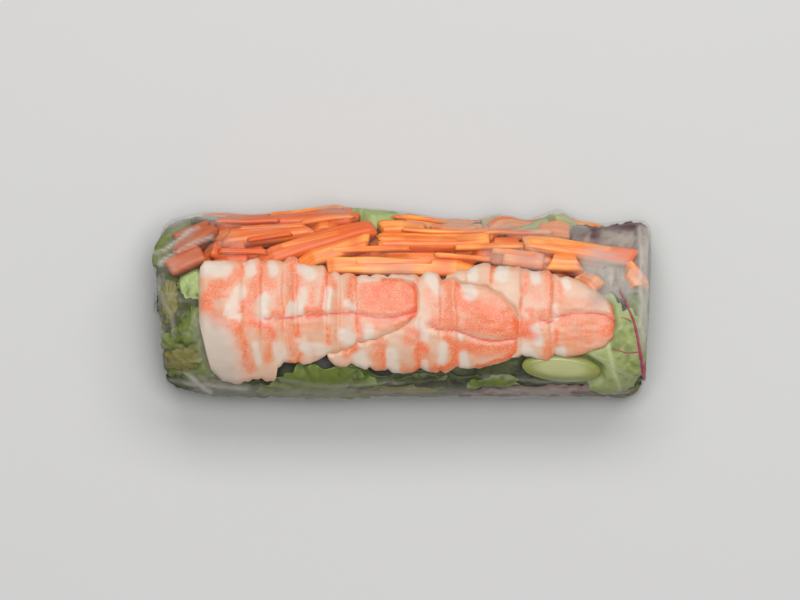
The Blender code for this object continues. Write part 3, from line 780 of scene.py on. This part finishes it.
def leaf_blade(name, along, around, length, width, turn, depth, crumple, frill, seed, cells=(58, 44)):
    """A leaf laid under the skin: its middle, size and turn, and how deep, crumpled and frilled."""
    blade, flat = grid(name, *cells)
    u, v = flat[:, 0], flat[:, 1]
    round_u, round_v = u * np.sqrt(1 - v * v / 2), v * np.sqrt(1 - u * u / 2)
    spread = np.hypot(round_u, round_v)
    bearing = np.arctan2(round_v, round_u)
    ring = np.stack([np.cos(bearing), np.sin(bearing), np.full_like(u, seed)], axis=1) * MM
    lobes = 1 + (0.18 * wave(ring, 0.5, seed) + 0.12 * wave(ring, 0.14, seed)) * spread**2
    ahead, aside = round_u * lobes * length / 2, round_v * lobes * width / 2
    angle = math.radians(turn)
    at_along = along + ahead * math.cos(angle) - aside * math.sin(angle)
    at_around = around + ahead * math.sin(angle) + aside * math.cos(angle)
    sheet = np.stack([at_along, at_around, np.full_like(u, seed * 9.0)], axis=1) * MM
    billow = wave(sheet, 8.0, seed)
    creases = 1 - 2 * np.abs(wave(sheet, 3.6, seed + 2))
    small = 1 - 2 * np.abs(wave(sheet, 1.7, seed + 4))
    folds = 0.5 * billow + 0.45 * creases + 0.25 * small
    edge = spread**3
    ruffle = np.sin(bearing * (length + width) / 3.6 + 5 * wave(ring, 0.6, seed + 1))
    own = depth + crumple * (0.7 - folds) / 2 + frill * edge * (0.5 + 0.5 * ruffle)
    floor = read(soften(widen(laid, 1), 2), at_along, at_around)
    deep = np.maximum(own, np.where(floor > 0.2, floor + 0.15, 0.0))
    lay(at_along, at_around, deep + 0.35)
    rib = np.abs(round_v + 0.12 * wave(sheet, 9.0, seed + 6)) * width / 2
    side = np.abs(((ahead - np.abs(aside) * 0.9 + 1.6 * folds) / 5.0 + 100) % 1 - 0.5) * 5.0
    veins = np.maximum(1 - ramp(0.1, 0.7, rib), 0.6 * (1 - ramp(0.05, 0.4, side)) * (1 - spread**4))
    thicken(blade, at_along, at_around, deep, deep + 0.22)
    # the fold heights go to the finish, which paints shade into the hollows by them
    for kind, values in (("veins", veins), ("edge", spread), ("folds", np.clip(0.5 + folds, 0, 1))):
        paint(blade, kind, np.tile(values, 2))
    close_up(blade)
    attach(blade, "root")
    return blade


def leaf_finish(name, dark, bright, edge, vein, veining=0.35, blotch=0.5):
    """A leaf's finish: dark in the hollows of its folds as painted shade, and its edge and veins have their
    own.
    """
    finish = new_material(name, 0.5, 0.35)
    folds, veins, rim = painted(finish, "folds", "veins", "edge")
    mottle = texture(finish, "Noise", 420.0, 4.0, 0.65)
    fold_shade_and_mottle = figure(finish, "MULTIPLY_ADD", texture(finish, "Noise", 110.0), blotch * 2, mottle)
    # painted shade: the hollows of the folds are darker and their crests brighter
    fold_shade_and_mottle = figure(finish, "ADD", fold_shade_and_mottle, folds)
    fold_shade_and_mottle = step(finish, fold_shade_and_mottle, 1.1 + blotch * 0.6, 1.55 + blotch * 0.6)
    colour = over(finish, dark, bright, fold_shade_and_mottle)
    colour = over(finish, colour, edge, step(finish, rim, 0.80, 1.0, 0.0, 0.7))
    colour = over(finish, colour, vein, figure(finish, "MULTIPLY", veins, veining))
    dress(finish, colour, mottle, 0.6, 0.0004)
    return finish


chard = leaf_blade("chard_blade", 51.5, -11.0, 31.0, 19.5, 100.0, 0.7, 0.5, 0.2, 3)
chard_colours = (0.20, 0.25, 0.065), (0.31, 0.37, 0.12), (0.30, 0.38, 0.14), (0.50, 0.54, 0.28)
chard.data.materials.append(leaf_finish("chard_leaf_green", *chard_colours, veining=0.8, blotch=0.2))
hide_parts("chard_leaf")

# the chard's rib and its side veins, in magenta
magenta = new_material("chard_rib", 0.4)
streaks = texture(magenta, "Noise", 500.0)
dress(magenta, over(magenta, (0.27, 0.010, 0.045), (0.47, 0.035, 0.11), streaks))
RIB_POINTS = 40
RIBS = (  # x and y of the places, and the radius at both ends
    ((53, 3, 54.6, 0, 56.4, -4, 57.4, -8, 58.2, -12.5, 59, -17, 59.7, -21), 0.15, 0.65),
    ((56, -4.5, 54.8, -3.8, 53.5, -3.5), 0.14, 0.08),
    ((57.8, -11.7, 55, -12, 53.2, -11.4, 51.5, -10.8), 0.20, 0.10),
)
for number, (line, thin, thick) in enumerate(RIBS):
    count = len(line) // 2
    fine = np.linspace(0, count - 1, RIB_POINTS)
    x, y = (np.interp(fine, range(count), axis) for axis in (line[::2], line[1::2]))
    along, around = place_at(x, y)
    path = on_skin(along, around, np.full(RIB_POINTS, 0.75))
    radius = np.linspace(thin, thick, RIB_POINTS) * 0.9
    bpy.ops.object.select_all(action="DESELECT")
    bpy.ops.curve.primitive_nurbs_path_add()
    rib = bpy.context.object
    rib.name = f"chard_rib_{number + 1}"
    rib.data.splines.clear()
    spline = rib.data.splines.new("POLY")
    spline.points.add(RIB_POINTS - 1)
    spline.points.foreach_set("co", np.column_stack([path, np.ones(RIB_POINTS)]).ravel())
    spline.points.foreach_set("radius", radius)
    rib.data.bevel_depth = MM
    rib.data.bevel_resolution = 2
    rib.data.use_fill_caps = True
    bpy.ops.object.convert(target="MESH")
    rib = bpy.context.object
    rib.data.shade_smooth()
    rib.data.materials.append(magenta)
    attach(rib, "root")

red_colours = (0.12, 0.075, 0.065), (0.34, 0.27, 0.23), (0.12, 0.03, 0.04), (0.30, 0.22, 0.18)
red_finish = leaf_finish("red_lettuce_leaf", *red_colours)
MAROON_AND_SHADE = (  # where the leaf is dark red, and one stroke of painted shadow at x 54 to 57.5: x and y of the places, width
    ((50.3, 19.2, 58.6, 19.2), 3.2), ((58.4, 19, 58.4, 14.8), 2.6), ((47.4, 20, 47.8, 15.8), 3.4),
    ((39, 18.2, 44, 17), 3), ((54, 5.5, 57.5, -1), 3.4), ((20, -23.4, 40, -24), 2),
    ((42, -22.6, 58, -23.6), 1.4),
)
leaf_shade = red_finish.node_tree.nodes["Principled BSDF"]
colour = leaf_shade.inputs["Base Color"].links[0].from_socket
# near-black red over the maroon edges and over the painted shadow stroke
dress(red_finish, over(red_finish, colour, (0.075, 0.010, 0.022), painted(red_finish, "maroon_and_shade")[0]))
RED_BLADES = (
    (52.5, 25, 21, 40, 0, 1, 1.2, 1, 11), (36.5, -29, 46, 12, -1, 1, 1.2, 0.8, 12),
)
for number, blade in enumerate(RED_BLADES, 1):
    red = leaf_blade(f"red_lettuce_blade_{number}", *blade)
    points = points_of(red)
    x, y = points[:, :2].T / MM + 0.8 * wave(points, 2.0, 90 + number)
    maroon_and_shade_marks = [1 - ramp(0.25, 0.75, from_line(x, y, line) / width) for line, width in MAROON_AND_SHADE]
    paint(red, "maroon_and_shade", np.max(maroon_and_shade_marks, axis=0))
    red.data.materials.append(red_finish)
    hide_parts(f"red_lettuce_{number}")

# each leaf's dark colour is also the painted shade in the hollows of its folds
GREENS = {  # the colours of each green leaf: dark, bright, edge and vein
    "bright": ((0.014, 0.026, 0.003), (0.115, 0.155, 0.014), (0.13, 0.19, 0.025), (0.22, 0.29, 0.08)),
    "dark": ((0.010, 0.016, 0.003), (0.048, 0.062, 0.010), (0.075, 0.10, 0.016), (0.12, 0.15, 0.05)),
    "pale": ((0.15, 0.20, 0.05), (0.34, 0.43, 0.15), (0.36, 0.46, 0.18), (0.46, 0.54, 0.28)),
    "olive": ((0.030, 0.028, 0.005), (0.17, 0.15, 0.03), (0.13, 0.12, 0.025), (0.24, 0.24, 0.08)),
}
green_finishes = [leaf_finish("salad_leaf_" + name, *colours) for name, colours in GREENS.items()]
GREEN_BLADES = (  # as leaf_blade has them: along, around, length, width, turn, depth, crumple, frill; finish
    (-58.2, 1.5, 13, 4.5, 86, 0.7, 1, 0.8, 3), (-55, -15, 11, 7, 20, 0.7, 1, 0.8, 3),
    (-52.5, -5, 12, 7, 70, 0.7, 1.2, 1.2, 0), (-2, -24.5, 22, 3.6, 2, 0.7, 0.8, 0.8, 3),
    (4, -20.5, 14, 4.5, 5, 0.9, 1, 1, 1), (60.2, 8.3, 3.2, 3.2, 30, 0.6, 0.5, 0.6, 0),
    (-8, 31.5, 17, 10, 3, 0.8, 0.6, 0.8, 2), (-25, 36, 12, 8, 0, 0.8, 0.6, 0.6, 2),
    (-51, 8, 11, 12, 50, 0.8, 1, 1, 2), (-20, -25, 31, 18, 5, 0.8, 1.3, 1.6, 0),
    (-54, -14, 20, 16, 75, 0.8, 1.4, 1.4, 0), (59.5, 8, 6, 6, 30, 0.8, 0.6, 0.6, 0),
    (59.5, -1, 20, 7, 92, 1, 0.8, 0.8, 0), (22, -23, 14, 8, 10, 0.9, 0.8, 1, 0),
    (-58, 22, 18, 18, 45, 1, 1.2, 1.2, 0), (-57, 2, 20, 20, 95, 1, 1.6, 1.4, 1),
    (-46, -30, 28, 18, -8, 1, 1.5, 1.2, 1), (6, -28, 34, 18, 3, 1, 1.6, 1.4, 1),
    (34, -34, 30, 16, 0, 1.2, 1.4, 1.2, 1), (50, -33, 22, 14, 0, 1.1, 1.2, 1.2, 0),
    (26, -20, 36, 20, 0, 1.4, 1.4, 1.2, 1), (40, -16, 26, 20, 0, 1.4, 1.4, 1.2, 0),
    (-5, 24, 40, 22, 0, 1.2, 1.2, 1.2, 0), (38, 24, 40, 22, 0, 1.2, 1.2, 1.2, 2),
)
for number, (*blade, finish) in enumerate(GREEN_BLADES, 1):
    green = leaf_blade(f"salad_leaf_{number:02d}", *blade, 30 + number)
    green.data.materials.append(green_finishes[finish])

# the rest of the filling, all the way round and over both ends
FILLING_CELLS = 36, 28
rng = np.random.default_rng(7)
places = [(-48 + 32 * column, 40 + 22 * row) for row in range(4) for column in range(4)]
places += [(end, turn) for end in (-71, 71) for turn in (-50, -16, 16, 50)]
for number, (along, around) in enumerate(places, 1):
    along += rng.uniform(-4, 4)
    around += rng.uniform(-4, 4)
    size = (44.0, 34.0) if abs(along) < 60 else (26.0, 26.0)
    looseness = (rng.uniform(-30, 30), 1.2, 1.6, 1.4)
    blade = (along, around, *size, *looseness, 60 + number)
    green = leaf_blade(f"salad_filling_{number:02d}", *blade, FILLING_CELLS)
    green.data.materials.append(green_finishes[number % 2])

core = fine_copy("green_salad", "salad_core", 1.1, -1.2)
points = points_of(core)
# random fold heights for the core, which its finish turns into painted shade
paint(core, "folds", 0.5 + 0.5 * wave(points, 4.0, 70))
for name in ("veins", "edge"):
    paint(core, name, np.zeros(len(points)))
core.data.materials.append(green_finishes[1])
core.data.shade_smooth()
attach(core, "root")
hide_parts("green_salad")


# ---- The sheet --------------------------------------------------------------------------------
# One round of rice paper, soaked until soft and clear and drawn tight over the filling. It clings
# where it touches, clouds where it spans a gap, and is gathered in at both ends.

FILM = 0.15  # thickness
CLING = 0.2  # between its outer face and the food, where it touches
DEEPEST = 1.7
# each crease is also drawn as a light line on the sheet: the sheet lies double there, and its glint is a
# painted highlight
CREASES = (  # where the sheet folds over itself: x and y of the places, width, how high
    ((-62.2, 12.3, -58, 14.2, -53.5, 17.2, -49.9, 19.2), 0.45, 1),
    ((-60.2, 10, -55.5, 13.2, -50.5, 15.4, -46.9, 17.4), 0.5, 1),
    ((-58, 20, -51, 22, -44, 21.6), 0.6, 0.6), ((-60.5, 4, -57, -3, -56.5, -9), 0.5, 0.5),
    ((-53.6, -17.9, -50.5, -20.5, -47.4, -22.8), 0.45, 0.9), ((-57, -20, -50, -21, -38, -22), 0.5, 0.6),
    ((58.8, 19, 59.6, 12, 58.9, 6, 59.8, 0, 59, -6), 0.5, 0.8),
    ((61.3, 16, 60.6, 10, 61.4, 4, 60.6, -2, 61, -8), 0.4, 0.9),
    ((46, -12, 52, -16.5, 58, -19), 0.4, 0.5), ((20, -19, 34, -20.5, 50, -20), 0.5, 0.5),
    ((-30, -20, -16, -21.5, 0, -20.5), 0.5, 0.4), ((-46, 20.5, -36, 18.5, -28, 19.5), 0.4, 0.4),
    ((2, 20.5, 14, 19, 26, 19.5, 36, 17.5), 0.4, 0.5), ((30, 17, 31.5, 14, 35, 11), 0.4, 0.5),
)
CLOUDS = (  # where the sheet is thick or lies double: x and y of the places, width, how cloudy
    ((48, 10, 54, 5), 9, 0.75), ((48, 1, 52, 4), 4, 0.8), ((12, 20.3, 30, 19.5), 3, 0.55),
    ((32, 18.8, 44, 19), 4, 0.55), ((-52, 22, -40, 22.5), 2.5, 0.55), ((-20, 24, -14, 24.2), 3, 0.7),
    ((-9, 9, 2, 8), 2.5, 0.35), ((22, 12.4, 34, 11), 4, 0.5), ((-43, 15.5, -40, 14.5), 4, 0.35),
    ((-61, 11, -57, 9), 3, 0.35), ((-58, 14.6, -52, 17), 2, 0.5), ((-50, -23, 56, -24), 3, 0.45),
    ((-52, -20, -40, -22), 3, 0.5), ((61, 18, 61, -10), 4, 1), ((-58.5, 20.5, -54, 18.5), 4.5, 0.4),
    ((-61, 6, -60.5, -14), 2.6, 0.6), ((50, 17, 57, 16), 4, 0.5), ((-48, -7, -44, -17), 8, 0.35),
)
solids = set(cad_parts.values())
filling = [thing for thing in bpy.data.objects if thing.type == "MESH" and thing not in solids]
filling.remove(table)
under = cast(tree_of(*filling), skin, -outward, 12 * MM) / MM
limit = np.clip(under - CLING, 0.05, DEEPEST)
row_at = ((np.arange(NET_ALONG + 1) / NET_ALONG - 0.5) * net_length / MM)[:, None] + 0 * under
column_at = ((np.arange(NET_AROUND) / NET_AROUND - 0.5) * girth / MM)[None, :] + 0 * under
net_places = np.stack([row_at, column_at, 0 * under], axis=-1)
flat_places = net_places.reshape(-1, 3) * MM
seen_x, seen_y = skin[..., 0].ravel() / MM, skin[..., 1].ravel() / MM
upward = ramp(0.05, 0.3, outward[..., 2]).ravel()
ridge = np.zeros(len(seen_x))
sway_x, sway_y = 0.5 * wave(flat_places, 3.0, 81), 0.5 * wave(flat_places, 3.0, 82)
# the ridges raise the sheet and are drawn light by its material, as a painted highlight
for line, width, height in CREASES:
    from_crease = from_line(seen_x + sway_x, seen_y + sway_y, line)
    ridge = np.maximum(ridge, height * np.exp(-((from_crease / width) ** 2)) * upward)
puckers = 1 - 2 * np.abs(wave(flat_places * (0.35, 1.0, 1.0), 3.0, 83))
puckers = np.clip(puckers - 0.6, 0, 1) * (0.12 + 0.6 * ramp(46, 60, np.abs(seen_x)))
ridge = np.maximum(ridge, puckers).reshape(under.shape)
sink = 0.22 + 0.72 * soften(np.minimum(limit, 1.6), 9) - 0.3 * ridge
sideways = 1 - ramp(0.15, 0.55, np.abs(outward[..., 2]))
sink = np.where(sink > 0.3, 0.3 + (sink - 0.3) * (1 - 0.75 * sideways), sink)
resting = ramp(0.6, 0.9, -outward[..., 2])
sink = np.clip(np.minimum(sink * (1 - resting), limit), 0.03, DEEPEST)
gap = widen(-widen(-np.maximum(under - sink - CLING, 0), 3), 3)  # a narrow gap stays clear
haze = 1 - np.exp(-np.maximum(gap - 0.3, 0) / 6.0)
cloud = np.zeros(len(seen_x))
for line, width, thickness in CLOUDS:
    from_cloud = from_line(seen_x + 2 * sway_x, seen_y + 2 * sway_y, line)
    cloud = np.maximum(cloud, thickness * (1 - ramp(0.2, 0.75, from_cloud / width)) * upward)
haze, cloud = soften(haze, 2), soften(cloud.reshape(haze.shape), 4)

bpy.ops.object.select_all(action="DESELECT")
bpy.ops.mesh.primitive_uv_sphere_add(segments=NET_AROUND, ring_count=NET_ALONG, radius=1.0)
film_piece = bpy.context.object
film_piece.name = "rice_paper_sheet"
ball = points_of(film_piece)
row = np.rint((np.arcsin(np.clip(ball[:, 2], -1, 1)) / math.pi + 0.5) * NET_ALONG).astype(int)
column = np.rint((np.arctan2(ball[:, 1], ball[:, 0]) / math.tau + 0.5) * NET_AROUND).astype(int)
film = skin - outward * sink[..., None] * MM
film[0], film[-1] = film[0].mean(axis=0), film[-1].mean(axis=0)
set_points(film_piece, film[row, column % NET_AROUND])
for name, net in (("haze", haze), ("cloud", cloud), ("ridge", ridge)):
    paint(film_piece, name, net[row, column % NET_AROUND])
close_up(film_piece)
apply(film_piece, "SOLIDIFY", thickness=FILM * MM, offset=-1.0)

paper = new_material("soaked_rice_paper", 0.28)
hazy, fold_and_highlight, double = painted(paper, "haze", "ridge", "cloud")
clouds = step(paper, texture(paper, "Noise", 130.0, 4.0, 0.55), 0.4, 0.75, 0.0, 0.07)
hazy = figure(paper, "ADD", hazy, clouds)
colour = over(paper, (0.55, 0.51, 0.45), (0.44, 0.41, 0.35), hazy)
colour = over(paper, colour, (0.70, 0.64, 0.55), double)
# painted highlight: creases and puckers are light, where the sheet also lies thicker
colour = over(paper, colour, (0.80, 0.77, 0.72), fold_and_highlight)
dress(paper, colour, texture(paper, "Noise", 700.0, 3.0), 0.25, 0.0002)
cover = figure(paper, "ADD", figure(paper, "ADD", hazy, double), figure(paper, "MULTIPLY", fold_and_highlight, 0.75))
cover = step(paper, cover, 0.0, 1.0, 0.012, 0.36, "LINEAR")
paper.node_tree.links.new(cover, paper.node_tree.nodes["Principled BSDF"].inputs["Alpha"])
film_piece.data.materials.append(paper)
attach(film_piece, "root")
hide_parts("rice_paper")
